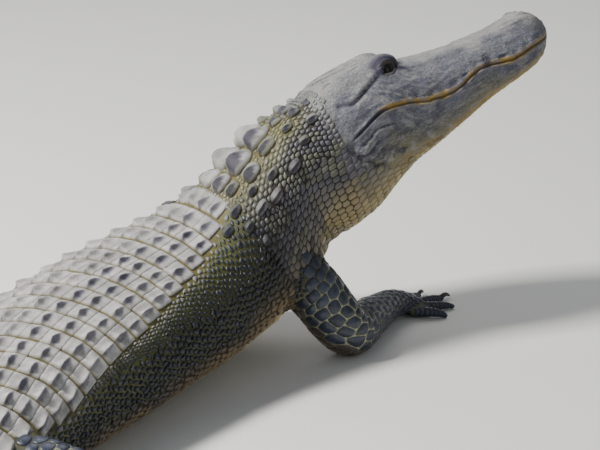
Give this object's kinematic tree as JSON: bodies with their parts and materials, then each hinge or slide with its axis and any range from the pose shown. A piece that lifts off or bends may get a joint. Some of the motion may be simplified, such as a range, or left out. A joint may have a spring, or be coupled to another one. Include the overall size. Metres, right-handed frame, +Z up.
{
  "type": "american alligator",
  "caption": "Life-size American alligator lying on its belly with chest, neck and head lifted, as a still museum-type model.",
  "frame": {"origin": "middle of the flat under the belly, on the floor", "axes": "+Z up from the floor, +X towards the head along the length, +Y to the animal's left"},
  "size_m": [2.1624, 0.8349, 0.4687],
  "materials": {
    "body_hide": "matte",
    "head_hide": "satin",
    "pale_hide": "satin",
    "limb_hide": "satin",
    "eye": "gloss"
  },
  "bodies": {
    "root": {"torso_abdomen": "body_hide", "torso_chest": "body_hide", "neck": "body_hide", "tail_1": "body_hide", "tail_2": "body_hide", "tail_3": "body_hide", "tail_4": "body_hide", "head": "head_hide", "eye_left": "eye", "eye_right": "eye", "lower_jaw": "pale_hide", "right_upper_arm": "limb_hide", "right_forearm": "limb_hide", "right_hand": "limb_hide", "right_thigh": "limb_hide", "right_shank": "limb_hide", "right_foot": "limb_hide", "left_upper_arm": "limb_hide", "left_forearm": "limb_hide", "left_hand": "limb_hide", "left_thigh": "limb_hide", "left_shank": "limb_hide", "left_foot": "limb_hide"}
  },
  "joints": []
}
